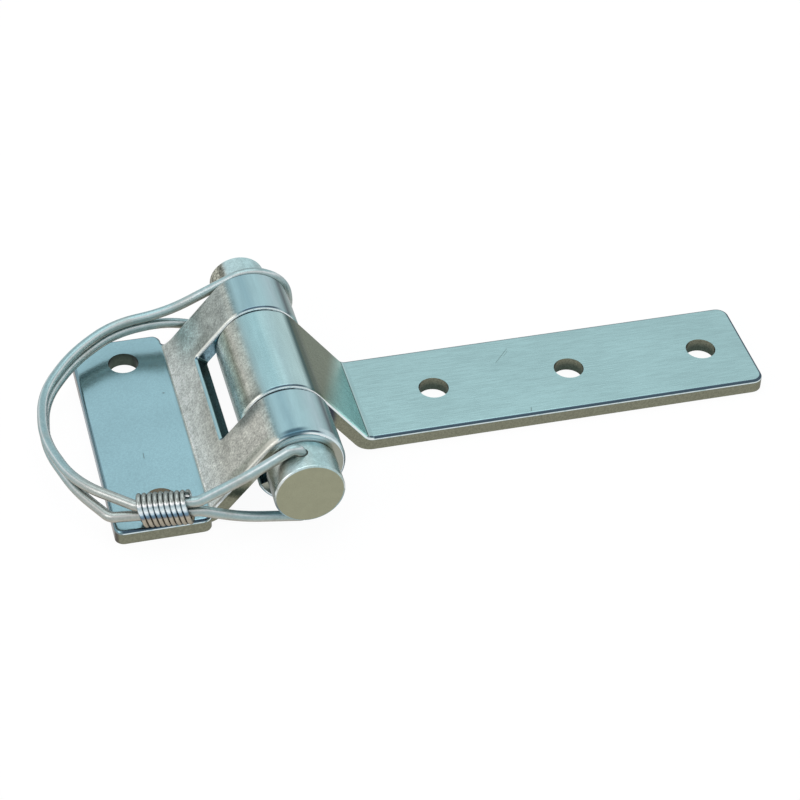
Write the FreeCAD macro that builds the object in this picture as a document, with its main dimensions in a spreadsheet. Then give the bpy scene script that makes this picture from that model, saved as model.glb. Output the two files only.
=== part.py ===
import FreeCAD, Part
import math
import os
import Sketcher
from FreeCAD import Vector

# Lift-off hinge: a long strap leaf and a two-knuckle bracket leaf, each rolled from one plate,
# turn on a headed pin. A spring-wire clip pivots in a cross hole through the pin's head and
# snaps over the pin's tip. With the clip off and the pin drawn, the strap lifts away.
# Frame: +Z up from the mounting plane, +X from the bracket's bolt line towards the strap's end,
# +Y along the pin towards its tip. The origin is midway between the bracket's two bolt holes.

os.makedirs("parts", exist_ok=True)
doc = FreeCAD.newDocument("lift_off_hinge")

# Driving dimensions in millimetres and degrees

SIZES = [
    ("plate_thickness", 4.2),
    ("edge_round", 1.0),
    ("pin_height", 15.0),
    ("pin_diameter", 16.0),
    ("pin_running_gap", 0.1),
    ("bend_radius", 2.5),
    ("strap_bend_distance", 25.1),
    ("bracket_bend_distance", 26.1),
    ("wrap_end_angle", 20.0),
    ("strap_width", 34.0),
    ("strap_offset", 0.5),
    ("strap_corner_radius", 3.5),
    ("strap_hole_diameter", 8.6),
    ("strap_hole_distance", 46.7),
    ("strap_hole_spacing", 40.0),
    ("strap_hole_count", 3),
    ("strap_end_margin", 13.6),
    ("bracket_near_shoulder", 3.1),
    ("bracket_edge_margin", 14.0),
    ("bracket_corner_radius", 2.5),
    ("bracket_hole_diameter", 8.6),
    ("bracket_hole_margin", 10.7),
    ("bracket_hole_distance", 36.6),
    ("shoulder_reach", 1.6),
    ("far_shoulder_radius", 3.6),
    ("near_knuckle_length", 18.5),
    ("far_knuckle_length", 16.3),
    ("knuckle_gap", 0.6),
    ("window_gap", 3.3),
    ("window_corner_radius", 0.8),
    ("head_diameter", 19.2),
    ("head_length", 10.3),
    ("head_rim_radius", 0.6),
    ("head_seat_gap", 0.3),
    ("tip_reach", 13.6),
    ("tip_chamfer", 0.7),
    ("cross_hole_distance", 4.4),
    ("cross_hole_gap", 0.2),
    ("clip_tilt", 6.2),
    ("clip_wire_diameter", 2.9),
    ("clip_end_depth", 5.0),
    ("clip_end_bend", 2.2),
    ("clip_upper_gap", 0.3),
    ("clip_lower_gap", 1.3),
    ("clip_reach", 63.5),
    ("clip_strand_spacing", 3.1),
    ("clip_upper_setback", 0.5),
    ("clip_lower_setback", 8.0),
    ("clip_side_bend", 3.5),
    ("clip_loop_radius", 11.1),
    ("clip_loop_gap", 0.7),
    ("clip_loop_shift", 1.3),
    ("clip_loop_drop", 1.1),
    ("coil_wire_diameter", 1.4),
    ("coil_turns", 10),
    ("coil_turn_gap", 0.04),
    ("coil_leg_gap", 0.6),
    ("coil_leg_spacing", 3.4),
    ("coil_distance", 30.1),
    ("coil_drop", 0.5),
    ("coil_lead", 1.5),
    ("coil_skew", 12.7),
]

sheet = doc.addObject("Spreadsheet::Sheet", "sizes")
for row, (alias, value) in enumerate(SIZES, start=1):
    sheet.set(f"A{row}", alias)
    sheet.set(f"B{row}", str(value))
    sheet.setAlias(f"B{row}", alias)
doc.recompute()


def size(alias):
    """The value of one driving dimension."""
    value = sheet.get(alias)
    return float(getattr(value, "Value", value))


# Helpers for bodies, sketches and edges

def new_body(name):
    body = doc.addObject("PartDesign::Body", name)
    body.Label = name
    return body


def new_sketch(body, name, plane_role):
    """A sketch on one of the body's own origin planes."""
    sketch = body.newObject("Sketcher::SketchObject", name)
    plane = next(item for item in body.Origin.OriginFeatures if item.Role == plane_role)
    sketch.AttachmentSupport = (plane, [""])
    sketch.MapMode = "FlatFace"
    return sketch


def bind(sketch, index, name, expression):
    """Name one constraint of a sketch and drive it from the sheet."""
    sketch.renameConstraint(index, name)
    sketch.setExpression(f"Constraints.{name}", expression)


def dimension(sketch, name, expression, *constraint):
    bind(sketch, sketch.addConstraint(Sketcher.Constraint(*constraint)), name, expression)


def finish_sketch(sketch):
    doc.recompute()
    if sketch.solve() != 0:
        raise RuntimeError(f"{sketch.Name} does not solve")


def extrude(body, kind, sketch, name, length, other=None, reverse=False):
    """Pad or pocket a sketch, to one side or to two, with lengths given as expressions."""
    feature = body.newObject(f"PartDesign::{kind}", name)
    feature.Profile = sketch
    if other is None:
        feature.setExpression("Length", length)
    else:
        feature.SideType = "Two sides"
        feature.setExpression("Length", length)
        feature.setExpression("Length2", other)
    feature.Reversed = reverse
    doc.recompute()
    return feature


def edge_names(feature, wanted):
    """Names of the feature's edges for which wanted(edge) holds."""
    return [f"Edge{number}" for number, edge in enumerate(feature.Shape.Edges, start=1) if wanted(edge)]


def dress(body, kind, name, feature, names, prop, expression):
    """Fillet or chamfer the named edges."""
    dressing = body.newObject(f"PartDesign::{kind}", name)
    dressing.Base = (feature, names)
    dressing.setExpression(prop, expression)
    doc.recompute()
    return dressing


# Sizes worked out from the sheet

BORE_RADIUS = "(sizes.pin_diameter / 2 + sizes.pin_running_gap)"
BARREL_RADIUS = f"({BORE_RADIUS} + sizes.plate_thickness)"
BEND_RISE = "(sizes.plate_thickness + sizes.bend_radius - sizes.pin_height)"
BEND_X = "sizes.bracket_bend_distance"
SLOPE_ANGLE = (f"(asin(({BARREL_RADIUS} + sizes.bend_radius) / hypot({BEND_X}; {BEND_RISE}))"
               f" - atan2({BEND_RISE}; {BEND_X}))")
STRAP_NEAR = "(sizes.strap_width / 2 + sizes.strap_offset)"
STRAP_FAR = "(sizes.strap_width / 2 - sizes.strap_offset)"
WINDOW_NEAR = f"({STRAP_NEAR} + sizes.knuckle_gap)"
WINDOW_FAR = f"({STRAP_FAR} + sizes.knuckle_gap)"
NEAR_FACE = f"({WINDOW_NEAR} + sizes.near_knuckle_length)"
FAR_FACE = f"({WINDOW_FAR} + sizes.far_knuckle_length)"
HALF_WIDTH = f"({NEAR_FACE} + sizes.bracket_near_shoulder)"
STRAP_REACH = ("(sizes.strap_hole_distance + sizes.strap_hole_spacing * (sizes.strap_hole_count - 1)"
               " + sizes.strap_end_margin)")

thickness = size("plate_thickness")
pin_x = size("bracket_hole_distance")
pin_z = size("pin_height")
bore_radius = size("pin_diameter") / 2 + size("pin_running_gap")
barrel_radius = bore_radius + thickness
window_near = -(size("strap_width") / 2 + size("strap_offset") + size("knuckle_gap"))
window_far = size("strap_width") / 2 - size("strap_offset") + size("knuckle_gap")
near_face = window_near - size("near_knuckle_length")
far_face = window_far + size("far_knuckle_length")
half_width = size("bracket_near_shoulder") - near_face
hole_pattern = size("strap_hole_spacing") * (size("strap_hole_count") - 1)
strap_reach = size("strap_hole_distance") + hole_pattern + size("strap_end_margin")
bracket_reach = size("bracket_hole_distance") + size("bracket_edge_margin")
shoulder_x = pin_x - size("bracket_bend_distance") + size("shoulder_reach")


def bend_distance(side):
    """Distance from the pin's axis to the centre of a leaf's bend."""
    return size("strap_bend_distance" if side > 0 else "bracket_bend_distance")


def slope_angle(side):
    """Angle of the slope that is tangent to the bend's inside and to the barrel's outside."""
    across = bend_distance(side)
    up = thickness + size("bend_radius") - pin_z
    between = math.hypot(across, up)
    return math.asin((barrel_radius + size("bend_radius")) / between) - math.atan2(up, across)


def outward_normal(side):
    """Direction, in the side view, square to a leaf's slope and away from the pin."""
    return Vector(side * math.sin(slope_angle(side)), math.cos(slope_angle(side)), 0)


def arc(centre, radius, first_ray, last_ray):
    """Counter-clockwise arc of a side view between two directions."""
    circle = Part.Circle(centre, Vector(0, 0, 1), radius)
    first = math.atan2(first_ray.y, first_ray.x)
    return Part.ArcOfCircle(circle, first, math.atan2(last_ray.y, last_ray.x))


def leaf_profile(body, side, reach, reach_expression):
    """Side view of one leaf: flat, bend, slope and the roll over the pin.

    side is +1 for the leaf that lies towards +X and -1 for the one towards -X.
    reach is the distance from the pin's axis to the leaf's free end.
    """
    sketch = new_sketch(body, f"{body.Name}_profile", "XZ_Plane")
    bend = size("bend_radius")
    bend_centre = Vector(pin_x + side * bend_distance(side), thickness + bend, 0)
    axis = Vector(pin_x, pin_z, 0)
    outward = outward_normal(side)
    wrap_end = math.radians(size("wrap_end_angle"))
    lip_ray = Vector(side * math.cos(wrap_end), -math.sin(wrap_end), 0)
    down = Vector(0, -1, 0)
    top_end = Vector(pin_x + side * reach, thickness, 0)
    low_end = Vector(pin_x + side * reach, 0, 0)
    bend_rays = (-outward, down) if side > 0 else (down, -outward)
    roll_rays = (outward, lip_ray) if side > 0 else (lip_ray, outward)

    outline = [
        Part.LineSegment(top_end, bend_centre + down * bend),
        arc(bend_centre, bend, *bend_rays),
        Part.LineSegment(bend_centre - outward * bend, axis + outward * barrel_radius),
        arc(axis, barrel_radius, *roll_rays),
        Part.LineSegment(axis + lip_ray * barrel_radius, axis + lip_ray * bore_radius),
        arc(axis, bore_radius, *roll_rays),
        Part.LineSegment(axis + outward * bore_radius, bend_centre - outward * (bend + thickness)),
        arc(bend_centre, bend + thickness, *bend_rays),
        Part.LineSegment(bend_centre + down * (bend + thickness), low_end),
        Part.LineSegment(low_end, top_end),
    ]
    top, bend_in, slope, barrel, lip, bore, under, bend_out, flat, tail = range(len(outline))
    for piece in outline:
        sketch.addGeometry(piece)

    # An arc's points 1 and 2 are its ends, met in opposite order on the two leaves, and 3 is its centre
    slope_end, lip_end = (1, 2) if side > 0 else (2, 1)
    bend_at_slope, bend_at_flat = (1, 2) if side > 0 else (2, 1)
    for join in [
        ("Tangent", top, 2, bend_in, bend_at_flat),
        ("Tangent", bend_in, bend_at_slope, slope, 1),
        ("Tangent", slope, 2, barrel, slope_end),
        ("Coincident", barrel, lip_end, lip, 1),
        ("Coincident", lip, 2, bore, lip_end),
        ("Tangent", bore, slope_end, under, 1),
        ("Tangent", under, 2, bend_out, bend_at_slope),
        ("Tangent", bend_out, bend_at_flat, flat, 1),
        ("Coincident", flat, 2, tail, 1),
        ("Coincident", tail, 2, top, 1),
        ("Horizontal", top),
        ("Horizontal", flat),
        ("Vertical", tail),
        ("Coincident", barrel, 3, bore, 3),
        ("Coincident", bend_in, 3, bend_out, 3),
        ("PointOnObject", barrel, 3, lip),
        ("PointOnObject", flat, 2, -1),
    ]:
        sketch.addConstraint(Sketcher.Constraint(*join))

    def across(name, expression, near, far, value):
        """Horizontal distance measured away from the pin, whichever way the leaf lies."""
        ends = (*near, *far) if side > 0 else (*far, *near)
        dimension(sketch, name, expression, "DistanceX", *ends, value)

    dimension(sketch, "bore_radius", BORE_RADIUS, "Radius", bore, bore_radius)
    dimension(sketch, "barrel_radius", BARREL_RADIUS, "Radius", barrel, barrel_radius)
    dimension(sketch, "bend_radius", "sizes.bend_radius", "Radius", bend_in, bend)
    dimension(sketch, "thickness", "sizes.plate_thickness", "DistanceY", tail, 1, tail, 2, thickness)
    dimension(sketch, "pin_x", "sizes.bracket_hole_distance", "DistanceX", -1, 1, barrel, 3, pin_x)
    dimension(sketch, "pin_z", "sizes.pin_height", "DistanceY", -1, 1, barrel, 3, pin_z)
    across("bend_x", "sizes.strap_bend_distance" if side > 0 else BEND_X,
           (barrel, 3), (bend_in, 3), bend_distance(side))
    across("reach", reach_expression, (barrel, 3), (tail, 1), reach)
    dimension(sketch, "lip_drop", f"{BARREL_RADIUS} * sin(sizes.wrap_end_angle * 1deg)",
              "DistanceY", lip, 1, barrel, 3, barrel_radius * math.sin(wrap_end))
    finish_sketch(sketch)
    return sketch


def rectangle(sketch, low, high):
    """Closed rectangle with its sides level and upright. Returns the index of its first side."""
    corners = [Vector(low.x, low.y, 0), Vector(high.x, low.y, 0),
               Vector(high.x, high.y, 0), Vector(low.x, high.y, 0)]
    first = sketch.GeometryCount
    for number in range(4):
        sketch.addGeometry(Part.LineSegment(corners[number], corners[(number + 1) % 4]))
    for number in range(4):
        follower = first + (number + 1) % 4
        sketch.addConstraint(Sketcher.Constraint("Coincident", first + number, 2, follower, 1))
        direction = "Horizontal" if number % 2 == 0 else "Vertical"
        sketch.addConstraint(Sketcher.Constraint(direction, first + number))
    return first


def on_outer_skin(point):
    """Whether a point lies on the upper side of a leaf: flat, bend, slope or rolled barrel."""
    tolerance = 0.01
    flat = Vector(point.x - pin_x, point.z - pin_z, 0)
    side = 1 if flat.x > 0 else -1
    bend_centre = Vector(side * bend_distance(side), thickness + size("bend_radius") - pin_z, 0)
    beyond_bend = side * flat.x >= bend_distance(side) - tolerance
    on_flat = abs(point.z - thickness) < tolerance and beyond_bend
    on_barrel = abs(flat.Length - barrel_radius) < tolerance
    on_slope = abs(flat * outward_normal(side) - barrel_radius) < tolerance
    on_bend = abs((flat - bend_centre).Length - size("bend_radius")) < tolerance
    return on_flat or on_barrel or on_slope or on_bend


def middle(edge):
    return edge.valueAt((edge.FirstParameter + edge.LastParameter) / 2)


def upper_rim(edge):
    """Whether an edge bounds the upper skin of a leaf along a cut side. Drilled holes stay sharp."""
    ends = [edge.valueAt(edge.FirstParameter), edge.valueAt(edge.LastParameter)]
    if edge.isClosed() or not all(on_outer_skin(point) for point in ends + [middle(edge)]):
        return False
    at = middle(edge).x
    across_the_plate = abs(ends[0].y - ends[1].y) > 0.01 and abs(ends[0].x - ends[1].x) < 0.01
    past_the_bend = abs(at - pin_x) > bend_distance(1 if at > pin_x else -1) + 0.01
    return past_the_bend or not across_the_plate or abs(at - shoulder_x) < 0.01


# Strap leaf

strap_end = pin_x + strap_reach
strap = new_body("strap_leaf")
strap_side = leaf_profile(strap, 1, strap_reach, STRAP_REACH)
strap_roll = extrude(strap, "Pad", strap_side, "strap_plate",
                     STRAP_NEAR, STRAP_FAR)


def upright_edge(edge):
    return abs(edge.BoundBox.ZLength - thickness) < 0.01 and edge.BoundBox.XLength < 0.01


def strap_corner(edge):
    return upright_edge(edge) and abs(middle(edge).x - strap_end) < 0.01


strap_rounded = dress(strap, "Fillet", "strap_corners", strap_roll, edge_names(strap_roll, strap_corner),
                      "Radius", "sizes.strap_corner_radius")

strap_drill = new_sketch(strap, "strap_hole_sketch", "XY_Plane")
first_hole = Vector(pin_x + size("strap_hole_distance"), -size("strap_offset"), 0)
strap_drill.addGeometry(Part.Circle(first_hole, Vector(0, 0, 1), size("strap_hole_diameter") / 2))
dimension(strap_drill, "hole", "sizes.strap_hole_diameter", "Diameter", 0, size("strap_hole_diameter"))
dimension(strap_drill, "hole_x", "sizes.bracket_hole_distance + sizes.strap_hole_distance",
          "DistanceX", -1, 1, 0, 3, first_hole.x)
dimension(strap_drill, "hole_y", "sizes.strap_offset", "DistanceY", 0, 3, -1, 1, size("strap_offset"))
finish_sketch(strap_drill)
strap_hole = extrude(strap, "Pocket", strap_drill, "strap_hole", "sizes.plate_thickness", reverse=True)
strap_holes = strap.newObject("PartDesign::LinearPattern", "strap_holes")
strap_holes.Originals = [strap_hole]
strap_holes.Direction = (strap_drill, ["H_Axis"])
strap_holes.setExpression("Length", "sizes.strap_hole_spacing * (sizes.strap_hole_count - 1)")
strap_holes.setExpression("Occurrences", "sizes.strap_hole_count")
strap.Tip = strap_holes
doc.recompute()
dress(strap, "Fillet", "strap_rolled_edges", strap_holes, edge_names(strap_holes, upper_rim),
      "Radius", "sizes.edge_round")

# Bracket leaf

bracket = new_body("bracket_leaf")
bracket_side = leaf_profile(bracket, -1, bracket_reach,
                            "sizes.bracket_hole_distance + sizes.bracket_edge_margin")
bracket_roll = extrude(bracket, "Pad", bracket_side, "bracket_plate", HALF_WIDTH, HALF_WIDTH)

# The flat is wider than the knuckles and ends in a shoulder each side just past the start of the bend
clearance = barrel_radius + thickness
clear_x, clear_z = pin_x + clearance, pin_z + clearance
CLEARANCE = f"({BARREL_RADIUS} + sizes.plate_thickness)"
SHOULDER_X = f"(sizes.bracket_hole_distance - {BEND_X} + sizes.shoulder_reach)"
SHOULDER_ROUND = (f"min(sizes.far_shoulder_radius;"
                  f" 0.98 * ({HALF_WIDTH} - {FAR_FACE} - sizes.bracket_corner_radius))")
waist_sketch = new_sketch(bracket, "waist_sketch", "XY_Plane")
side_clear = half_width + thickness
near_side = rectangle(waist_sketch, Vector(shoulder_x, -side_clear, 0), Vector(clear_x, near_face, 0))
far_side = rectangle(waist_sketch, Vector(shoulder_x, far_face, 0), Vector(clear_x, side_clear, 0))
for name, first in [("near", near_side), ("far", far_side)]:
    dimension(waist_sketch, f"{name}_shoulder", SHOULDER_X, "DistanceX", -1, 1, first, 1, shoulder_x)
    dimension(waist_sketch, f"{name}_clear", f"sizes.bracket_hole_distance + {CLEARANCE}",
              "DistanceX", -1, 1, first, 2, clear_x)
dimension(waist_sketch, "near_face", NEAR_FACE, "DistanceY", near_side + 2, 1, -1, 1, -near_face)
dimension(waist_sketch, "far_face", FAR_FACE, "DistanceY", -1, 1, far_side, 1, far_face)
dimension(waist_sketch, "near_side", f"{HALF_WIDTH} + sizes.plate_thickness",
          "DistanceY", near_side, 1, -1, 1, side_clear)
dimension(waist_sketch, "far_side", f"{HALF_WIDTH} + sizes.plate_thickness",
          "DistanceY", -1, 1, far_side + 2, 1, side_clear)
finish_sketch(waist_sketch)
waist = extrude(bracket, "Pocket", waist_sketch, "waist", f"sizes.pin_height + {CLEARANCE}", reverse=True)


def plate_corner(edge):
    at = middle(edge)
    upright = edge.BoundBox.XLength < 0.01 and edge.BoundBox.YLength < 0.01
    at_end = abs(at.x - pin_x + bracket_reach) < 0.01 or abs(at.x - shoulder_x) < 0.01
    return upright and at_end and abs(abs(at.y) - half_width) < 0.01


def far_shoulder(edge):
    at = middle(edge)
    upright = edge.BoundBox.XLength < 0.01 and edge.BoundBox.YLength < 0.01
    return upright and abs(at.x - shoulder_x) < 0.01 and abs(at.y - far_face) < 0.01


bracket_cornered = dress(bracket, "Fillet", "bracket_corners", waist,
                         edge_names(waist, plate_corner), "Radius", "sizes.bracket_corner_radius")
bracket_rounded = dress(bracket, "Fillet", "far_shoulder", bracket_cornered,
                        edge_names(bracket_cornered, far_shoulder), "Radius", SHOULDER_ROUND)

# The window in the slope lets the strap's barrel in between the two knuckles. Its lip is square to the
# slope and stands window_gap clear of that barrel. The cut takes away all beyond the lip.
slope = slope_angle(-1)
lip_setback = math.sqrt((barrel_radius + size("window_gap")) ** 2 - bore_radius ** 2)
lip_x = pin_x - barrel_radius * math.sin(slope) - lip_setback * math.cos(slope)
lip_z = pin_z + barrel_radius * math.cos(slope) - lip_setback * math.sin(slope)
lip_foot_x = lip_x + lip_z * math.tan(slope)
lip_head_x = lip_x - (clear_z - lip_z) * math.tan(slope)
LIP_SETBACK = f"sqrt(({BARREL_RADIUS} + sizes.window_gap) ^ 2 - {BORE_RADIUS} ^ 2)"
LIP_X = (f"(sizes.bracket_hole_distance - {BARREL_RADIUS} * sin{SLOPE_ANGLE}"
         f" - {LIP_SETBACK} * cos{SLOPE_ANGLE})")
LIP_Z = (f"(sizes.pin_height + {BARREL_RADIUS} * cos{SLOPE_ANGLE}"
         f" - {LIP_SETBACK} * sin{SLOPE_ANGLE})")

window_sketch = new_sketch(bracket, "window_sketch", "XZ_Plane")
corners = [Vector(lip_foot_x, 0, 0), Vector(clear_x, 0, 0), Vector(clear_x, clear_z, 0),
           Vector(lip_head_x, clear_z, 0)]
for number in range(4):
    window_sketch.addGeometry(Part.LineSegment(corners[number], corners[(number + 1) % 4]))
for join in [("Coincident", 0, 2, 1, 1), ("Coincident", 1, 2, 2, 1), ("Coincident", 2, 2, 3, 1),
             ("Coincident", 3, 2, 0, 1), ("Vertical", 1), ("Horizontal", 2),
             ("PointOnObject", 0, 1, -1), ("PointOnObject", 0, 2, -1)]:
    window_sketch.addConstraint(Sketcher.Constraint(*join))
dimension(window_sketch, "lip_foot_x", f"{LIP_X} + {LIP_Z} * tan{SLOPE_ANGLE}",
          "DistanceX", -1, 1, 0, 1, lip_foot_x)
dimension(window_sketch, "lip_head_x",
          f"{LIP_X} - (sizes.pin_height + {CLEARANCE} - {LIP_Z}) * tan{SLOPE_ANGLE}",
          "DistanceX", -1, 1, 3, 1, lip_head_x)
dimension(window_sketch, "clear_x", f"sizes.bracket_hole_distance + {CLEARANCE}",
          "DistanceX", -1, 1, 0, 2, clear_x)
dimension(window_sketch, "clear_z", f"sizes.pin_height + {CLEARANCE}", "DistanceY", 0, 2, 1, 2, clear_z)
finish_sketch(window_sketch)
window = extrude(bracket, "Pocket", window_sketch, "window", WINDOW_FAR, WINDOW_NEAR)


def window_corner(edge):
    at = middle(edge)
    beside = min(abs(at.y - window_near), abs(at.y - window_far)) < 0.01 and edge.BoundBox.YLength < 0.01
    return beside and abs(edge.Length - thickness) < 0.01 and at.z < pin_z and at.x < pin_x - bore_radius


window_rounded = dress(bracket, "Fillet", "window_corners", window, edge_names(window, window_corner),
                       "Radius", "sizes.window_corner_radius")

bracket_drill = new_sketch(bracket, "bracket_hole_sketch", "XY_Plane")
hole_spot = Vector(0, half_width - size("bracket_hole_margin"), 0)
bracket_drill.addGeometry(Part.Circle(hole_spot, Vector(0, 0, 1), size("bracket_hole_diameter") / 2))
dimension(bracket_drill, "hole", "sizes.bracket_hole_diameter", "Diameter", 0, size("bracket_hole_diameter"))
dimension(bracket_drill, "hole_y", f"{HALF_WIDTH} - sizes.bracket_hole_margin",
          "DistanceY", -1, 1, 0, 3, hole_spot.y)
bracket_drill.addConstraint(Sketcher.Constraint("PointOnObject", 0, 3, -2))
finish_sketch(bracket_drill)
bracket_hole = extrude(bracket, "Pocket", bracket_drill, "bracket_hole",
                       "sizes.plate_thickness", reverse=True)
bracket_holes = bracket.newObject("PartDesign::Mirrored", "bracket_holes")
bracket_holes.Originals = [bracket_hole]
bracket_holes.MirrorPlane = (bracket_drill, ["H_Axis"])
bracket.Tip = bracket_holes
doc.recompute()
dress(bracket, "Fillet", "bracket_rolled_edges", bracket_holes, edge_names(bracket_holes, upper_rim),
      "Radius", "sizes.edge_round")

# Hinge pin, modelled about its own axis and then laid in the knuckles, turned with its cross hole

head_inner = near_face - size("head_seat_gap")
head_outer = head_inner - size("head_length")
tip_end = far_face + size("tip_reach")
head_radius = size("head_diameter") / 2
HEAD_INNER = f"({NEAR_FACE} + sizes.head_seat_gap)"
pin = new_body("hinge_pin")
pin_sketch = new_sketch(pin, "pin_half_section", "XY_Plane")
pin_radius = size("pin_diameter") / 2
corners = [Vector(0, head_outer, 0), Vector(head_radius, head_outer, 0), Vector(head_radius, head_inner, 0),
           Vector(pin_radius, head_inner, 0), Vector(pin_radius, tip_end, 0), Vector(0, tip_end, 0)]
for number, corner in enumerate(corners):
    pin_sketch.addGeometry(Part.LineSegment(corner, corners[(number + 1) % 6]))
for number in range(6):
    pin_sketch.addConstraint(Sketcher.Constraint("Coincident", number, 2, (number + 1) % 6, 1))
    pin_sketch.addConstraint(Sketcher.Constraint("Vertical" if number % 2 else "Horizontal", number))
pin_sketch.addConstraint(Sketcher.Constraint("PointOnObject", 0, 1, -2))
dimension(pin_sketch, "head_radius", "sizes.head_diameter / 2", "DistanceX", -1, 1, 0, 2, head_radius)
dimension(pin_sketch, "shank_radius", "sizes.pin_diameter / 2", "DistanceX", -1, 1, 3, 1, pin_radius)
dimension(pin_sketch, "head_inner", HEAD_INNER, "DistanceY", 2, 1, -1, 1, -head_inner)
dimension(pin_sketch, "head_length", "sizes.head_length", "DistanceY", 0, 2, 1, 2, size("head_length"))
dimension(pin_sketch, "tip_end", f"{FAR_FACE} + sizes.tip_reach", "DistanceY", -1, 1, 4, 1, tip_end)
finish_sketch(pin_sketch)
pin_turned = pin.newObject("PartDesign::Revolution", "pin_turned")
pin_turned.Profile = pin_sketch
pin_turned.ReferenceAxis = (pin_sketch, ["V_Axis"])
pin_turned.Angle = 360
doc.recompute()


def circle_at(y, radius):
    def wanted(edge):
        round_edge = isinstance(edge.Curve, Part.Circle) and abs(edge.Curve.Radius - radius) < 0.01
        return round_edge and abs(middle(edge).y - y) < 0.01
    return wanted


def head_rims(edge):
    return circle_at(head_outer, head_radius)(edge) or circle_at(head_inner, head_radius)(edge)


pin_rimmed = dress(pin, "Fillet", "head_rims", pin_turned, edge_names(pin_turned, head_rims),
                   "Radius", "min(sizes.head_rim_radius; 0.45 * (sizes.head_diameter - sizes.pin_diameter))")
pin_tipped = dress(pin, "Chamfer", "tip_chamfer", pin_rimmed,
                   edge_names(pin_rimmed, circle_at(tip_end, pin_radius)), "Size", "sizes.tip_chamfer")

# The cross hole runs square through the head and takes both ends of the clip's wire
wire_radius = size("clip_wire_diameter") / 2
cross_y = head_inner - size("cross_hole_distance")
cross_sketch = new_sketch(pin, "cross_hole_sketch", "XY_Plane")
cross_radius = wire_radius + size("cross_hole_gap")
cross_sketch.addGeometry(Part.Circle(Vector(0, cross_y, 0), Vector(0, 0, 1), cross_radius))
dimension(cross_sketch, "cross_hole", "sizes.clip_wire_diameter + 2 * sizes.cross_hole_gap",
          "Diameter", 0, 2 * cross_radius)
dimension(cross_sketch, "cross_y", f"{HEAD_INNER} + sizes.cross_hole_distance",
          "DistanceY", 0, 3, -1, 1, -cross_y)
cross_sketch.addConstraint(Sketcher.Constraint("PointOnObject", 0, 3, -2))
finish_sketch(cross_sketch)
extrude(pin, "Pocket", cross_sketch, "cross_hole", "sizes.head_diameter / 2", "sizes.head_diameter / 2")


def lay_in_hinge(item):
    """Place a piece modelled about the pin's own axis, tilted so that the clip hangs to its side."""
    item.Placement = FreeCAD.Placement(Vector(pin_x, 0, pin_z),
                                       FreeCAD.Rotation(Vector(0, -1, 0), size("clip_tilt")))
    item.setExpression(".Placement.Base.x", "sizes.bracket_hole_distance")
    item.setExpression(".Placement.Base.z", "sizes.pin_height")
    item.setExpression(".Placement.Rotation.Angle", "sizes.clip_tilt * 1deg")


lay_in_hinge(pin)

# Spring clip, one bent wire. In the pin's own frame its two strands lie one above the other.
# From the cross hole they run through the coil, bow out to the side and come back to the tip,
# where one passes over the pin and the other under it and they join as one loop.

loop_y = far_face + size("clip_loop_gap") + wire_radius
skew = math.radians(size("coil_skew"))
coil_way = Vector(-math.cos(skew), math.sin(skew), 0)
coil_pitch = size("coil_wire_diameter") + size("coil_turn_gap")
coil_length = coil_pitch * size("coil_turns")
coil_start = Vector(-size("coil_distance"), cross_y, -size("coil_drop"))

# Level +1 is the upper strand and -1 the lower one. A leg's middle is at these shares of the coil's
# distance and of the leg's height at the head.
LEG_MIDDLE_SHARES = {1: (0.48, 0.46), -1: (0.60, 0.61)}

# The bow's corners, as shares of the clip's reach and of the way from the cross hole to the tip loop
BOW_SHARES = [(0.928, 0.225), (1.013, 0.482), (0.973, 0.721), (0.811, 0.90), (0.60, 1.016),
              (0.355, 1.018)]
LOOP_ANGLES = (84, 28, -28, -84)


def strand(level):
    """Corners of one strand from the cross hole to the tip, each with its bend radius or None."""
    head_gap = size("clip_upper_gap") if level > 0 else size("clip_lower_gap")
    head_height = head_radius + head_gap + wire_radius + size("clip_end_bend") / 2
    leg_share, height_share = LEG_MIDDLE_SHARES[level]
    in_coil = Vector(0, 0, level * size("coil_leg_spacing") / 2)
    setback = size("clip_upper_setback") if level > 0 else size("clip_lower_setback")
    corners = [
        (Vector(0, cross_y, level * (head_radius - size("clip_end_depth"))), None),
        (Vector(0, cross_y, level * head_height), size("clip_end_bend")),
        (Vector(-leg_share * size("coil_distance"), cross_y, level * height_share * head_height), None),
        (coil_start - coil_way * size("coil_lead") + in_coil, size("clip_side_bend")),
        (coil_start + coil_way * (coil_length + setback) + in_coil, size("clip_side_bend")),
    ]
    for reach_share, way_share in BOW_SHARES:
        way = cross_y + way_share * (loop_y - cross_y)
        height = level * size("clip_strand_spacing") / 2
        corners.append((Vector(-reach_share * size("clip_reach"), way, height), None))
    return corners


def tip_loop():
    """Corners of the ring round the pin's tip, open towards the strands."""
    centre = Vector(size("clip_loop_shift"), loop_y, -size("clip_loop_drop"))
    half_step = math.radians((LOOP_ANGLES[0] - LOOP_ANGLES[1]) / 2)
    corner_radius = size("clip_loop_radius") / math.cos(half_step)
    corners = []
    for degrees in LOOP_ANGLES:
        angle = math.radians(degrees)
        corners.append((centre + Vector(math.cos(angle), 0, math.sin(angle)) * corner_radius, None))
    return corners


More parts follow.
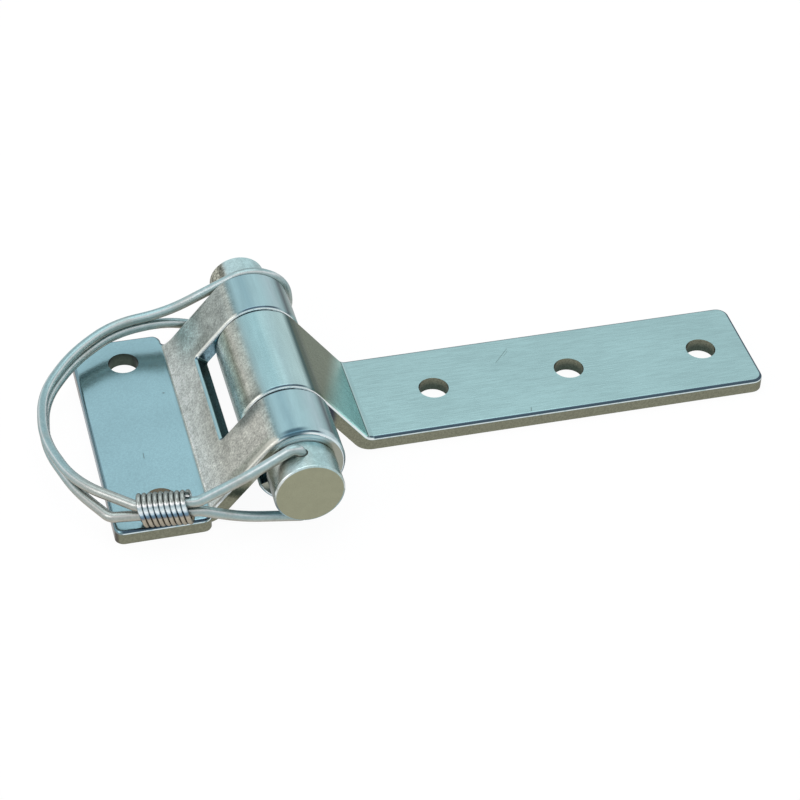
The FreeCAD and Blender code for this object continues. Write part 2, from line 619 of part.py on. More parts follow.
def bent_wire_path(corners):
    """Straight runs joined by tangent arcs. A bend radius of None is as large as its runs allow."""
    edges = []
    start = corners[0][0]
    for number in range(1, len(corners) - 1):
        point, radius = corners[number]
        before = point - corners[number - 1][0]
        after = corners[number + 1][0] - point
        half_turn = before.getAngle(after) / 2
        setback = 0.45 * min(before.Length, after.Length)
        if radius is not None:
            setback = min(setback, radius * math.tan(half_turn))
        before.normalize()
        after.normalize()
        first, last = point - before * setback, point + after * setback
        inward = after - before
        inward.normalize()
        bend = setback / math.tan(half_turn)
        arc_middle = point + inward * (bend / math.cos(half_turn) - bend)
        edges.append(Part.LineSegment(start, first).toShape())
        edges.append(Part.Arc(first, arc_middle, last).toShape())
        start = last
    edges.append(Part.LineSegment(start, corners[-1][0]).toShape())
    return Part.Wire(edges)


clip_path = bent_wire_path(strand(1) + tip_loop() + strand(-1)[::-1])
wire_end = clip_path.Edges[0]
wire_section = Part.Circle(wire_end.valueAt(0), wire_end.tangentAt(0), wire_radius)
clip_wire = doc.addObject("Part::Feature", "clip_wire")
clip_wire.Label = "clip_wire"
clip_wire.Shape = clip_path.makePipe(Part.Face(Part.Wire(wire_section.toShape())))
lay_in_hinge(clip_wire)

# Coil, a finer wire wound close round both legs. It is an oval sleeve, with a half turn round each
# leg and a flank between them, and each turn of the wire stands out as one rib.

coil_wire_radius = size("coil_wire_diameter") / 2
coil_radius = wire_radius + size("coil_leg_gap") + coil_wire_radius
half_spacing = size("coil_leg_spacing") / 2
# Points of a rib: angle from its crest round the coil's wire
RIB_ANGLES = (-75, -25, 25, 75)


def coil_section(side, height):
    """Section through the sleeve's wall on one side of the legs, at one height."""
    sideways = Vector(coil_way.y, -coil_way.x, 0) * side

    def at(along, out):
        return coil_start + coil_way * along + sideways * out + Vector(0, 0, height)

    crests = []
    for turn in range(int(size("coil_turns"))):
        for degrees in RIB_ANGLES:
            angle = math.radians(degrees)
            along = (turn + 0.5) * coil_pitch + coil_wire_radius * math.sin(angle)
            crests.append((along, coil_radius + coil_wire_radius * math.cos(angle)))
    inner = coil_radius - coil_wire_radius
    outline = [(crests[0][0], inner)] + crests + [(crests[-1][0], inner)]
    points = [at(along, out) for along, out in outline]
    return Part.Face(Part.makePolygon(points + points[:1]))


up = Vector(0, 0, half_spacing)
upper_half = coil_section(-1, half_spacing).revolve(coil_start + up, coil_way, 180)
lower_half = coil_section(1, -half_spacing).revolve(coil_start - up, coil_way, 180)
flanks = [coil_section(side, -half_spacing).extrude(up * 2) for side in (1, -1)]
sleeve = upper_half.fuse([lower_half] + flanks).removeSplitter()
clip_coil = doc.addObject("Part::Feature", "clip_coil")
clip_coil.Label = "clip_coil"
clip_coil.Shape = sleeve.Solids[0]
lay_in_hinge(clip_coil)
doc.recompute()

# Every object is checked before anything is written

for item in doc.Objects:
    if "Invalid" in item.State or "Error" in item.State:
        raise RuntimeError(f"{item.Name} failed: {item.State}")

SUB_PARTS = [strap, bracket, pin, clip_wire, clip_coil]
for item in SUB_PARTS:
    if item.Shape.isNull() or not item.Shape.isValid():
        raise RuntimeError(f"{item.Label} has no valid shape")
for item in SUB_PARTS:
    item.Shape.exportStep(os.path.join("parts", f"{item.Label}.step"))
    print(item.Label, "volume", round(item.Shape.Volume, 1), "solids", len(item.Shape.Solids))
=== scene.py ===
import math
import bpy
from mathutils import Matrix, Vector


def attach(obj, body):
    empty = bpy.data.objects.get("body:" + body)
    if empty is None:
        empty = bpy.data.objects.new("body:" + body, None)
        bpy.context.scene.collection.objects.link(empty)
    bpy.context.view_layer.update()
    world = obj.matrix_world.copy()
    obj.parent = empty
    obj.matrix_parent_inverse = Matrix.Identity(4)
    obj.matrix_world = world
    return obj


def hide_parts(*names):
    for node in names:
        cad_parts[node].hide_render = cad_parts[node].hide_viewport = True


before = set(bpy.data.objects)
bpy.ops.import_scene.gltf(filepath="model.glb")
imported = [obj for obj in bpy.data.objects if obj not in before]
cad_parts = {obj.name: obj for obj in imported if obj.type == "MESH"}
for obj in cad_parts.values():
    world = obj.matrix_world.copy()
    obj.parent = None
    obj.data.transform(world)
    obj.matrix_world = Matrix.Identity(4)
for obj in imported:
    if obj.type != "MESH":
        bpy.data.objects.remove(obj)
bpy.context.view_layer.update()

# A lift off hinge in blue-passivated zinc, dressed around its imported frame.
# Sizes are in millimetres and directions in degrees. The frame and Blender's objects are in metres.

MM = 0.001
PIN_X, PIN_Z = 36.6, 15.0
PLATE = 4.2
STRAP_FLAT_X = PIN_X + 25.1
BRACKET_FLAT_X = PIN_X - 26.1
HOLE_RADIUS = 4.3
STRAP_SHIFT = 0.5
STRAP_HOLES = [(PIN_X + 46.7 + 40.0 * number, -STRAP_SHIFT) for number in range(3)]
BRACKET_HOLES = [(0.0, 29.0), (0.0, -29.0)]
CROSS_Y, CROSS_RADIUS = -41.3, 1.65
CLIP_TILT = math.radians(6.2)
CLIP_WIRE, LEG_GAP, LEG_SPACING = 2.9, 0.6, 3.4

COIL_WIRE, COIL_TURNS, COIL_PITCH, COIL_LEAN = 1.4, 10, 1.44, 0.09
COIL_SKEW = math.radians(12.7)
COIL_WAY = Vector((-math.cos(COIL_SKEW), math.sin(COIL_SKEW), 0))
COIL_START = Vector((-30.1, CROSS_Y, -0.5))
COIL_LEVEL = PIN_Z + COIL_START.z


# Tints of the zinc as the screen shows them, 0 to 255, from white through blue and beige to the darks;
# several of them serve as painted highlights, painted reflections and painted shade

WHITE = (250, 252, 253)
BRIGHT = (242, 246, 242)
ICE = (224, 250, 254)
GLINT = (232, 238, 240)
PEARL = (214, 216, 210)
MIST = (206, 226, 232)
IVORY = (206, 206, 196)
PALE_BEIGE = (198, 198, 190)
SKY = (180, 212, 214)
TIP_BLUE = (176, 206, 210)
TEAL = (180, 230, 226)
PLATE_BLUE = (145, 183, 193)
STRAP_BLUE = (151, 185, 188)
UNDERSIDE = (138, 166, 173)
FOG = (158, 167, 163)
BEIGE = (176, 177, 169)
TAN = (180, 166, 152)
END_GREY = (154, 156, 144)
STONE = (154, 155, 132)
CLAY = (150, 150, 136)
LICHEN = (144, 150, 138)
OLIVE = (124, 125, 108)
MOSS = (112, 124, 106)
EARTH = (120, 112, 96)
WINDOW_BLUE = (112, 144, 158)
RING_BLUE = (104, 146, 162)
DEEP_TEAL = (112, 136, 138)
LIP_TEAL = (104, 126, 126)
MURK = (112, 118, 110)
DRAB = (104, 112, 106)
WINDOW_SHADE = (98, 108, 106)
SLATE = (94, 108, 112)
TURN_GAP_SHADE = (90, 94, 94)
CROSS_HOLE_SHADE = (98, 92, 80)
UMBER = (92, 86, 78)
DARK_MOSS = (76, 92, 86)
PETROL = (68, 98, 112)
EDGE_REFLECTION_BLUE = (46, 70, 84)
SCRATCH_AND_HOLE_SHADE = (66, 76, 68)
SHADE = (58, 62, 56)
INK = (34, 44, 42)
NAVY = (32, 42, 66)

# Skins of the rolled and turned parts by direction round the pin: 0 is +X, 90 is up, 180 is -X. Their light
# and dark bands are painted reflections, laid over the zinc's own tint

STRAP_SKIN_AND_REFLECTIONS = [
    (0, SLATE), (34, (70, 92, 88)), (44, (48, 72, 70)), (52, (78, 102, 102)),
    (60, (178, 206, 207)), (72, (168, 197, 199)), (82, (162, 192, 196)), (90, (164, 198, 202)),
    (99, (150, 188, 194)), (112, (150, 186, 192)), (119, (146, 174, 178)),
    (127, (168, 178, 172)), (138, (186, 188, 179)), (145, (132, 138, 126)), (152, (178, 194, 184)),
    (164, (228, 246, 242)), (176, (222, 240, 236)), (190, DEEP_TEAL),
    (215, UNDERSIDE), (330, UNDERSIDE), (359, SLATE)]
BRACKET_SKIN_AND_REFLECTIONS = [
    (0, SLATE), (34, (148, 176, 175)), (44, (88, 102, 107)), (53, (152, 180, 184)),
    (62, (170, 195, 201)), (80, (160, 194, 200)), (90, (156, 190, 197)), (99, (140, 175, 184)),
    (111, (152, 187, 195)), (119, (130, 158, 163)), (125, (164, 173, 168)), (140, BEIGE),
    (168, (168, 170, 162)), (190, OLIVE), (215, UNDERSIDE), (330, UNDERSIDE), (359, SLATE)]
PIN_SKIN_AND_REFLECTIONS = [
    (0, (166, 172, 162)), (14, (146, 156, 147)), (30, (172, 192, 186)), (45, (156, 180, 180)),
    (60, (168, 199, 202)), (78, (166, 198, 200)), (92, (166, 188, 188)), (104, (178, 202, 204)),
    (120, (176, 196, 198)), (135, (186, 192, 186)), (165, (170, 176, 166)), (200, SLATE),
    (220, UNDERSIDE), (330, UNDERSIDE), (359, (160, 166, 156))]

# Skin of the clip's wire by how far it faces up, from -1 to 1, with a painted highlight where it turns up
WIRE_SKIN_AND_HIGHLIGHT = [
    (-1.0, (158, 152, 140)), (-0.5, (182, 176, 164)), (-0.1, (174, 180, 172)), (0.2, (160, 178, 176)),
    (0.5, (154, 178, 180)), (0.66, (180, 195, 197)), (0.77, (214, 222, 224)), (0.87, (162, 190, 193)),
    (1.0, (140, 171, 176))]

# Skin of the coil by millimetres above its middle, from its warm lower half to bronze on top, with rows of
# painted highlights and a painted dark blue reflection between them
COIL_SKIN_AND_HIGHLIGHTS = [
    (-5.2, (104, 96, 84)), (-3.4, (156, 148, 132)), (-0.5, (176, 168, 152)), (0.0, (130, 132, 132)),
    (0.4, (100, 126, 146)), (1.1, (122, 152, 170)), (1.6, (204, 222, 232)), (2.3, (240, 248, 250)),
    (2.9, (214, 228, 232)), (3.5, (176, 194, 200)), (4.0, (254, 254, 254)), (4.35, (164, 170, 166)),
    (5.2, (140, 150, 148))]


def screen_colour(tint):
    def linear(value):
        share = value / 255
        return share / 12.92 if share <= 0.04045 else ((share + 0.055) / 1.055) ** 2.4
    red, green, blue = tint
    return (linear(red), linear(green), linear(blue), 1.0)


class Shader:
    """Small helper that builds the node tree of a material or a world."""

    def __init__(self, owner):
        owner.use_nodes = True
        self.tree = owner.node_tree
        self.tree.nodes.clear()

    def add(self, kind, inputs=None, **settings):
        node = self.tree.nodes.new(kind)
        for key, value in settings.items():
            setattr(node, key, value)
        for key, value in (inputs or {}).items():
            self.feed(node.inputs[key], value)
        return node

    def feed(self, socket, value):
        if isinstance(value, bpy.types.NodeSocket):
            self.tree.links.new(value, socket)
        elif isinstance(value, bpy.types.Node):
            self.tree.links.new(value.outputs[0], socket)
        else:
            socket.default_value = value

    def math(self, operation, first, second=0.0, third=0.0):
        return self.add("ShaderNodeMath", {0: first, 1: second, 2: third}, operation=operation)

    def times(self, first, *others):
        for other in others:
            first = self.math("MULTIPLY", first, other)
        return first

    def less(self, share):
        return self.math("SUBTRACT", 1.0, share)

    def hypotenuse(self, first, second):
        squares = self.math("ADD", self.times(first, first), self.times(second, second))
        return self.math("SQRT", squares)

    def step(self, value, low, high, to_low=0.0, to_high=1.0):
        """Smooth step of value from low to high."""
        limits = {"Value": value, "From Min": low, "From Max": high, "To Min": to_low, "To Max": to_high}
        return self.add("ShaderNodeMapRange", limits, interpolation_type="SMOOTHSTEP")

    def band(self, value, low, high, soft):
        """1 between low and high, fading over soft at both."""
        rises = self.step(value, low - soft, low + soft)
        falls = self.step(value, high + soft, high - soft)
        return self.times(rises, falls)

    def mix(self, factor, first, second):
        node = self.add("ShaderNodeMix", data_type="RGBA")
        self.feed(node.inputs[0], factor)
        self.feed(node.inputs[6], first)
        self.feed(node.inputs[7], second)
        return node.outputs[2]

    def ramp(self, value, low, high, stops):
        """Colour along value, whose stops run from low to high."""
        share = self.add("ShaderNodeMapRange", {"Value": value, "From Min": low, "From Max": high})
        node = self.add("ShaderNodeValToRGB", {"Fac": share})
        while len(node.color_ramp.elements) < len(stops):
            node.color_ramp.elements.new(1.0)
        for element, (place, tint) in zip(node.color_ramp.elements, stops):
            element.position = (place - low) / (high - low)
            element.color = screen_colour(tint)
        return node.outputs[0]


class Metal(Shader):
    """Metal painted in layers, each read from the surface's own place and direction."""

    def __init__(self, name):
        self.material = bpy.data.materials.new(name)
        super().__init__(self.material)
        coordinates = self.add("ShaderNodeTexCoord")
        self.place, self.normal = coordinates.outputs["Object"], coordinates.outputs["Normal"]
        in_mm = self.add("ShaderNodeVectorMath", {0: self.place, "Scale": 1 / MM}, operation="SCALE")
        self.spot = in_mm.outputs["Vector"]
        self.x, self.y, self.z = self.add("ShaderNodeSeparateXYZ", {0: self.spot}).outputs
        self.nx, self.ny, self.nz = self.add("ShaderNodeSeparateXYZ", {0: self.normal}).outputs
        circles = self.times(self.math("ARCTAN2", self.nz, self.nx), 1 / (2 * math.pi))
        self.turn = self.times(self.math("FRACT", circles), 360)
        self.colour = None
        self.matt = 0.0

    def lay(self, tint, *shares):
        """Lays a tint over the colour, as strongly as the product of the shares."""
        self.colour = self.mix(self.times(*shares), self.colour, screen_colour(tint))

    def facing(self, low, high, soft):
        """1 where the surface faces between two directions round the pin."""
        return self.band(self.turn, low, high, soft)

    def noise(self, scale, detail=3.0, roughness=0.6, stretch=(1, 1, 1)):
        placed = self.add("ShaderNodeMapping", {"Vector": self.place, "Scale": stretch})
        settings = {"Vector": placed, "Scale": scale, "Detail": detail, "Roughness": roughness}
        return self.add("ShaderNodeTexNoise", settings)

    def speckle(self, share, noise, depth):
        """Lightens and darkens by noise, up to depth, where share is 1."""
        swing = self.step(noise, 0.28, 0.72, -depth, depth)
        factor = self.math("MULTIPLY_ADD", swing, share, 1.0)
        toned = self.add("ShaderNodeVectorMath", {0: self.colour, 1: factor}, operation="MULTIPLY")
        self.colour = toned.outputs["Vector"]

    def from_pin(self):
        """Distance from the pin's axis."""
        return self.hypotenuse(self.math("SUBTRACT", self.x, PIN_X), self.math("SUBTRACT", self.z, PIN_Z))

    def lean(self, sine):
        """How far the surface has turned away from a face, as a share of a right angle."""
        return self.times(self.math("ARCSINE", sine), 2 / math.pi)

    def hole_walls(self, centres):
        """1 on the upright walls of the bolt holes."""
        level_spot = self.add("ShaderNodeCombineXYZ", {0: self.x, 1: self.y, 2: 0.0})
        found = 0.0
        for centre in centres:
            away = self.add("ShaderNodeVectorMath", {0: level_spot, 1: (*centre, 0.0)}, operation="DISTANCE")
            inside = self.step(away.outputs["Value"], HOLE_RADIUS + 0.2, HOLE_RADIUS + 0.1)
            found = self.math("MAXIMUM", inside, found)
        return self.times(found, self.step(self.nz, 0.6, 0.3))

    def scratch(self, x, y, degrees, length, width, depth):
        """One straight scratch on an upper face, its middle at x and y."""
        placing = {"Vector": self.spot, "Location": (x, y, 0), "Rotation": (0, 0, math.radians(degrees))}
        turned = self.add("ShaderNodeMapping", placing, vector_type="TEXTURE")
        along, aside, _ = self.add("ShaderNodeSeparateXYZ", {0: turned}).outputs
        self.lay(SCRATCH_AND_HOLE_SHADE, self.band(along, -length / 2, length / 2, 0.4),
                 self.band(aside, -width / 2, width / 2, width / 3), self.step(self.nz, 0.9, 0.99), depth)

    def pits(self, depth=0.6):
        """A few dark pin pricks, one in about twenty of the pattern's cells."""
        spots = self.add("ShaderNodeTexVoronoi", {"Vector": self.place, "Scale": 170.0}, feature="F1")
        pit = self.step(spots.outputs["Distance"], 0.05, 0.03)
        chosen = self.step(self.add("ShaderNodeSeparateColor", {0: spots.outputs["Color"]}), 0.94, 0.95)
        self.lay(SCRATCH_AND_HOLE_SHADE, pit, chosen, depth)

    def finish(self, roughness, height, metallic=0.92, strength=0.2, distance=0.0002):
        bump = self.add("ShaderNodeBump", {"Height": height, "Strength": strength, "Distance": distance})
        surface = self.add("ShaderNodeBsdfPrincipled", {
            "Base Color": self.colour, "Metallic": metallic, "Roughness": roughness, "Normal": bump,
            "Specular Tint": (0.6, 0.6, 0.6, 1.0), "IOR": 1.15})
        self.add("ShaderNodeOutputMaterial", {"Surface": surface})
        return self.material


class Plate(Metal):
    """Zinc on a rolled plate, which tells its flat part, its matt roll and its cut faces apart."""

    def __init__(self, name, grain_stretch):
        super().__init__(name)
        self.flat = self.worked = self.cut = 0.0
        self.grain = self.noise(2000, 3, 0.6, grain_stretch)
        self.grit = self.noise(1900, 4, 0.7)

    def lay_skin_and_reflections(self, skin, flat_tint):
        # The skin by direction round the pin carries painted reflections: light and dark bands
        self.colour = self.ramp(self.turn, 0, 360, skin)
        into_fold = self.times(self.step(self.z, 9.0, 7.5), self.step(self.nz, 0.86, 0.97))
        self.lay(flat_tint, self.math("MAXIMUM", self.flat, into_fold))

    def lay_grain(self):
        """Drift of the tint, drawn grain on the flat, streaks along the roll, grit where it was worked."""
        self.speckle(1.0, self.noise(60, 3, 0.5), 0.035)
        self.speckle(self.flat, self.grain, 0.055)
        self.speckle(self.less(self.flat), self.noise(750, 3, 0.65, (1, 0.09, 1)), 0.055)
        self.speckle(self.worked, self.grit, 0.37)
        self.speckle(self.worked, self.noise(380, 3, 0.65), 0.20)

    def lay_edges(self):
        """Edges rolled over in cutting: a painted dark reflection on top, then a painted highlight along the
        rubbed edge, then the cut face, in painted shade where it faces -X.
        """
        level = self.hypotenuse(self.nx, self.ny)
        tilt = self.math("MAXIMUM", self.math("ABSOLUTE", self.ny), self.times(self.flat, level))
        lean = self.lean(tilt)
        rolled = self.less(self.flat)
        back = self.times(self.flat, self.step(self.nx, -0.1, -0.35))
        worn_glint = self.step(self.noise(700, 3, 0.7), 0.30, 0.52, 0.35, 0.95)
        near_side = self.step(self.ny, -0.1, -0.6, 0.15, 1.0)
        top_shade = self.math("MULTIPLY_ADD", back, -0.46, 0.86)
        # painted dark reflection along the top of the flat's rolled edges, less at the back
        self.lay(NAVY, self.band(lean, 0.14, 0.70, 0.07), self.flat, top_shade)
        # painted dark reflection on the rolled edges of upward faces
        self.lay(NAVY, self.band(lean, 0.12, 0.46, 0.07), self.facing(60, 114, 9), rolled, 0.86)
        # painted highlight on rolled edges that face up and towards -X
        self.lay(PEARL, self.band(lean, 0.14, 0.70, 0.08), self.facing(122, 156, 4), rolled, 0.75)
        # painted highlight along the edge, broken up by wear noise and strongest on the near side
        self.lay(GLINT, self.band(lean, 0.74, 0.88, 0.05), worn_glint, near_side)
        # painted shade on the back edges of the flat
        self.lay(SLATE, self.band(lean, 0.66, 0.90, 0.05), back, 0.8)
        # painted highlight on the rolled ends
        self.lay(GLINT, self.band(lean, 0.56, 0.88, 0.06), worn_glint, rolled, near_side, self.facing(30, 147, 6))
        self.cut = self.step(lean, 0.89, 0.94)
        self.matt = self.times(self.cut, self.step(self.nx, -0.5, -0.9))
        self.lay(OLIVE, self.cut)
        # painted shade: cut faces that face -X are darker, and matt
        self.lay(UMBER, self.matt)
        self.speckle(self.cut, self.grit, 0.20)


def lay_strap_marks(metal):
    """The strap's slope goes from moss green at the barrel to teal at the fold, slantwise."""
    on_slope = metal.times(metal.facing(30, 47, 3), metal.less(metal.flat))
    slant = metal.math("MULTIPLY_ADD", metal.y, -0.3, metal.x)
    metal.lay(MOSS, on_slope)
    metal.lay(TEAL, on_slope, metal.step(slant, 51.5, 58.5))
    metal.lay(DARK_MOSS, on_slope, metal.step(metal.x, 48.0, 45.5), 0.8)
    metal.scratch(106.0, 9.0, 48, 7.2, 0.2, 0.5)
    metal.scratch(107.4, 9.6, 50, 2.8, 0.18, 0.35)
    metal.scratch(107.6, -15.4, 75, 1.6, 0.3, 0.55)
    metal.lay(DRAB, metal.step(metal.y, -10.5, -17.0), metal.facing(121, 150, 4), 0.75)
    matt_roll = metal.math("MAXIMUM", metal.facing(122, 175, 5), metal.times(on_slope, 0.25))
    metal.worked = metal.times(matt_roll, metal.less(metal.flat))


def strap_zinc():
    metal = Plate("strap_zinc", (0.09, 1.6, 1.0))
    metal.flat = metal.step(metal.x, STRAP_FLAT_X - 0.3, STRAP_FLAT_X + 0.3)
    metal.lay_skin_and_reflections(STRAP_SKIN_AND_REFLECTIONS, STRAP_BLUE)
    lay_strap_marks(metal)
    metal.lay_grain()
    metal.lay_edges()
    beside_knuckles = metal.step(metal.from_pin(), 15.0, 13.0)
    # painted shade on the barrel's end faces in the gaps beside the knuckles
    metal.lay(NAVY, metal.cut, beside_knuckles, 0.85)
    wall = metal.hole_walls(STRAP_HOLES)
    # walls of the bolt holes: painted shade, lighter towards the top
    metal.lay(SCRATCH_AND_HOLE_SHADE, wall)
    metal.lay(OLIVE, wall, metal.step(metal.z, 1.2, PLATE), 0.8)
    metal.speckle(wall, metal.grit, 0.3)
    metal.pits()
    rough = metal.step(metal.grain, 0.25, 0.75, 0.24, 0.34)
    height = metal.math("ADD", metal.times(metal.grain, 0.35), metal.times(metal.grit, metal.worked))
    return metal.finish(rough, height)


def lay_bracket_slope(metal):
    """The bracket's slope is brighter on the near arm and by the fold, and duller on the far arm."""
    on_slope = metal.times(metal.facing(130, 152, 4), metal.less(metal.flat))
    far = metal.step(metal.y, -16.0, 20.0)
    metal.lay(PALE_BEIGE, on_slope, metal.band(metal.y, -32.5, -21.5, 1.8), 0.5)
    metal.lay(LICHEN, on_slope, metal.step(metal.y, -32.0, -34.0), 0.6)
    metal.lay(FOG, on_slope, far, 0.9)
    fade_height = metal.step(far, 0.0, 1.0, 13.0, 18.0)
    to_fold = metal.step(metal.math("DIVIDE", metal.z, fade_height), 1.0, 0.33)
    metal.lay(BRIGHT, on_slope, to_fold, metal.step(metal.y, 20.0, 33.0, 0.85, 0.2))
    metal.lay(SKY, on_slope, metal.band(metal.z, 9.0, 15.0, 3.0), metal.step(metal.y, 14.0, 27.0), 0.55)
    beside_window = metal.band(metal.y, -22.0, -17.0, 2.2)
    metal.lay(WINDOW_SHADE, metal.facing(128, 158, 6), beside_window, metal.step(metal.z, 15.0, 20.5), 0.85)
    behind_window = metal.band(metal.y, 16.0, 22.0, 2.0)
    metal.lay(MURK, on_slope, behind_window, metal.band(metal.z, 12.0, 18.0, 2.5), 0.5)


def lay_bracket_marks(metal):
    """A painted dark reflection along the flat's near edge, one scratch and one nick."""
    edge_reflection_reach = metal.math("MULTIPLY_ADD", metal.noise(160, 3, 0.6), 2.4, metal.y)
    upward = metal.step(metal.nz, 0.5, 0.9)
    metal.lay(EDGE_REFLECTION_BLUE, metal.flat, metal.step(edge_reflection_reach, -38.4, -39.9), upward, 0.6)
    metal.scratch(-1.4, -11.0, 88, 2.2, 0.28, 0.5)
    metal.scratch(8.7, 13.8, 0, 0.5, 0.5, 0.7)


def lay_knuckle_end(metal):
    """The near knuckle's end: painted shade on top, painted highlights at both shoulders, and turned rings on
    its face over a painted highlight on its upper part.
    """
    by_end = metal.times(metal.step(metal.y, -33.9, -35.0), metal.step(metal.x, 21.0, 24.0))
    # painted shade on top of the end, painted highlights at both shoulders
    metal.lay(PETROL, by_end, metal.facing(84, 112, 9), 0.95)
    metal.lay(IVORY, by_end, metal.facing(122, 142, 4), 0.8)
    metal.lay(MIST, by_end, metal.facing(24, 62, 8), 0.6)
    away = metal.from_pin()
    face = metal.times(metal.cut, metal.step(metal.y, -34.5, -36.0), metal.step(away, 14.0, 13.0))
    above = metal.step(metal.math("SUBTRACT", metal.z, PIN_Z), 6.5, 10.0)
    ring_spacing = 1.1
    rings = metal.math("SINE", metal.times(away, 2 * math.pi / ring_spacing))
    # end face: grey, with a painted highlight on its upper part and turned rings drawn lighter and darker
    # there
    metal.lay(END_GREY, face)
    metal.lay(ICE, face, above)
    metal.lay(RING_BLUE, face, above, metal.step(rings, 0.55, 0.95), 0.6)
    metal.lay(WHITE, face, above, metal.step(rings, -0.7, -0.98), 0.7)
    metal.matt = metal.math("MAXIMUM", metal.matt, metal.times(face, above, 0.8))


def lay_bracket_openings(metal):
    """Walls of the window, of the gaps beside the strap's barrel and of the bolt holes, the bolt holes' walls
    in painted shade.
    """
    inner = metal.times(metal.cut, metal.band(metal.y, -20.0, 19.0, 1.0))
    lip = metal.times(metal.facing(38, 66, 4), metal.step(metal.x, 27.0, 25.0), metal.less(metal.cut))
    metal.lay(WINDOW_BLUE, inner, 0.9)
    metal.lay(LIP_TEAL, lip)
    metal.speckle(metal.math("MAXIMUM", lip, inner), metal.grit, 0.45)
    wall = metal.hole_walls(BRACKET_HOLES)
    # walls of the bolt holes: painted shade, darker towards the top and lighter brown in the hole on the near
    # side
    metal.lay(SCRATCH_AND_HOLE_SHADE, wall)
    metal.lay(INK, wall, metal.step(metal.z, 1.6, PLATE), 0.7)
    metal.lay(EARTH, wall, metal.step(metal.y, 0.0, -1.0), 0.8)
    metal.speckle(wall, metal.grit, 0.25)


def bracket_zinc():
    metal = Plate("bracket_zinc", (1.0, 1.0, 1.0))
    before_fold = metal.step(metal.x, BRACKET_FLAT_X + 0.3, BRACKET_FLAT_X - 0.3)
    on_wings = metal.step(metal.math("ABSOLUTE", metal.y), 36.8, 37.2)
    metal.flat = metal.math("MAXIMUM", before_fold, on_wings)
    metal.lay_skin_and_reflections(BRACKET_SKIN_AND_REFLECTIONS, PLATE_BLUE)
    lay_bracket_slope(metal)
    lay_bracket_marks(metal)
    metal.worked = metal.times(metal.facing(119, 190, 5), metal.less(metal.flat))
    metal.lay_grain()
    metal.lay_edges()
    lay_knuckle_end(metal)
    lay_bracket_openings(metal)
    metal.pits()
    rough = metal.math("MULTIPLY_ADD", metal.worked, 0.16, metal.step(metal.grain, 0.25, 0.75, 0.19, 0.24))
    height = metal.math("ADD", metal.times(metal.grain, 0.02), metal.times(metal.grit, metal.worked))
    return metal.finish(rough, height, metal.math("MULTIPLY_ADD", metal.matt, -0.85, 0.92))


def pin_zinc():
    """Turned steel with a painted highlight on its rims, painted shade in its cross hole, matt end faces and
    a rough flank at the tip.
    """
    metal = Metal("pin_zinc")
    metal.colour = metal.ramp(metal.turn, 0, 360, PIN_SKIN_AND_REFLECTIONS)
    grit = metal.noise(2300, 4, 0.7)
    fine = metal.noise(3200, 3, 0.6)
    blotch = metal.noise(520, 3, 0.65)
    at_tip = metal.step(metal.y, 36.0, 38.0)
    flank = metal.times(at_tip, metal.facing(124, 190, 6))
    smooth = metal.less(flank)
    # painted reflection: the tip's upper side bluer
    metal.lay(TIP_BLUE, at_tip, metal.facing(10, 118, 6), 0.7)
    metal.lay(CLAY, flank, 0.8)
    metal.speckle(flank, metal.noise(1150, 3, 0.75), 0.75)
    metal.speckle(flank, blotch, 0.3)
    metal.lay(SHADE, flank, metal.facing(124, 136, 3), 0.6)
    metal.speckle(smooth, blotch, 0.13)
    metal.speckle(smooth, grit, 0.10)

    lean = metal.lean(metal.math("ABSOLUTE", metal.ny))
    low_sides = metal.math("MAXIMUM", metal.step(metal.turn, 22, 6), metal.facing(163, 172, 4))
    glint_strongest = metal.math("MAXIMUM", metal.facing(125, 150, 12), low_sides)
    # painted highlight on the rims, strongest on the low sides and towards the upper left
    metal.lay(GLINT, metal.band(lean, 0.16, 0.80, 0.08), metal.math("MULTIPLY_ADD", glint_strongest, 0.6, 0.1))
    face = metal.step(lean, 0.84, 0.93)
    metal.lay(STONE, face)
    metal.speckle(face, fine, 0.055)
    metal.speckle(face, blotch, 0.03)

    # painted shade inside the cross hole
    metal.lay(CROSS_HOLE_SHADE, metal.step(from_cross_hole(metal), CROSS_RADIUS + 0.12, CROSS_RADIUS + 0.03), 0.85)
    metal.pits(0.4)
    rough = metal.math("MULTIPLY_ADD", face, 0.2, 0.27)
    height = metal.math("ADD", metal.times(fine, 0.3), metal.times(grit, flank))
    return metal.finish(rough, height)


def from_cross_hole(metal):
    """Distance from the axis of the cross hole, which leans by the clip's tilt."""
    across = metal.math("SUBTRACT", metal.x, PIN_X)
    up = metal.math("SUBTRACT", metal.z, PIN_Z)
    beside = metal.math("ADD", metal.times(across, math.cos(CLIP_TILT)), metal.times(up, math.sin(CLIP_TILT)))
    return metal.hypotenuse(beside, metal.math("SUBTRACT", metal.y, CROSS_Y))


def wire_zinc():
    """Drawn spring wire: painted shade below, a soft painted highlight where it turns up, teal on top, warm
    in places.
    """
    metal = Metal("wire_zinc")
    metal.colour = metal.ramp(metal.nz, -1.0, 1.0, WIRE_SKIN_AND_HIGHLIGHT)
    near_bend = metal.times(metal.step(metal.y, -16.0, -30.0), metal.step(metal.x, 6.0, -4.0))
    patches = metal.step(metal.noise(90, 3, 0.5), 0.5, 0.72, 0.0, 0.25)
    metal.lay(TAN, metal.math("MAXIMUM", metal.times(near_bend, 0.42), patches))
    fine = metal.noise(1800, 3, 0.6)
    metal.speckle(1.0, fine, 0.08)
    metal.speckle(1.0, metal.noise(500, 3, 0.6), 0.06)
    return metal.finish(0.26, fine, 0.6, 0.04, 0.0001)


